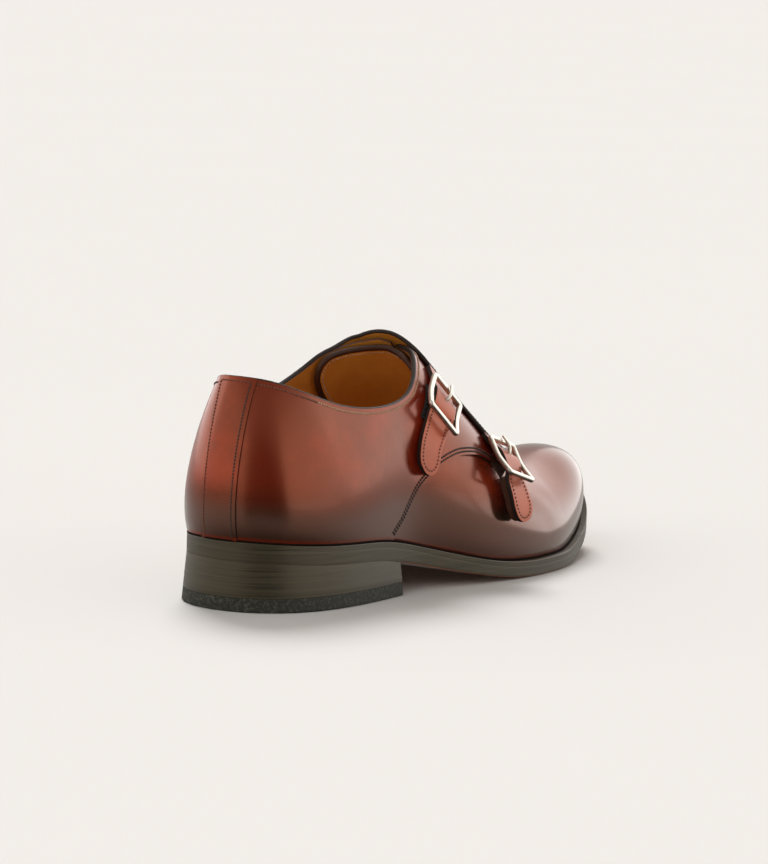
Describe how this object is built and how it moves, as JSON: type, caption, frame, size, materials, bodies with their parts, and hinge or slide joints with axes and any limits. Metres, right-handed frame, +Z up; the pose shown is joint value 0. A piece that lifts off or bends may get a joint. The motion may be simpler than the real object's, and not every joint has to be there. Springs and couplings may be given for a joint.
{
  "type": "monk strap shoe",
  "caption": "Right-foot leather dress shoe with a closed instep flap held by straps and pin buckles on its outer side, a low stacked heel and a thin sole.",
  "frame": {"origin": "middle of the shoe's box in plan, on the floor", "axes": "+Y heel to toe, +X to the outer (buckled) side of this right shoe, +Z up"},
  "size_m": [0.1016, 0.2942, 0.1106],
  "materials": {
    "quarter_leather": "polished red-brown leather",
    "vamp_leather": "polished red-brown leather, burnished dark",
    "lining_leather": "smooth tan lining leather",
    "sole_leather": "stained and waxed sole edge",
    "heel_rubber": "rough dark rubber",
    "elastic": "black woven elastic",
    "buckle_metal": "polished pale metal"
  },
  "bodies": {
    "root": {"outsole": "sole_leather", "welt": "sole_leather", "heel_stack": "sole_leather", "top_piece": "heel_rubber", "insole": "lining_leather", "upper": "vamp_leather", "tongue": "vamp_leather", "quarter_outer": "quarter_leather", "quarter_inner": "quarter_leather", "back_strip": "quarter_leather", "strap_upper": "quarter_leather", "strap_lower": "quarter_leather", "elastic_upper": "elastic", "elastic_lower": "elastic", "buckle_frame_upper": "buckle_metal", "buckle_frame_lower": "buckle_metal", "buckle_prong_upper": "buckle_metal", "buckle_prong_lower": "buckle_metal"}
  },
  "joints": []
}
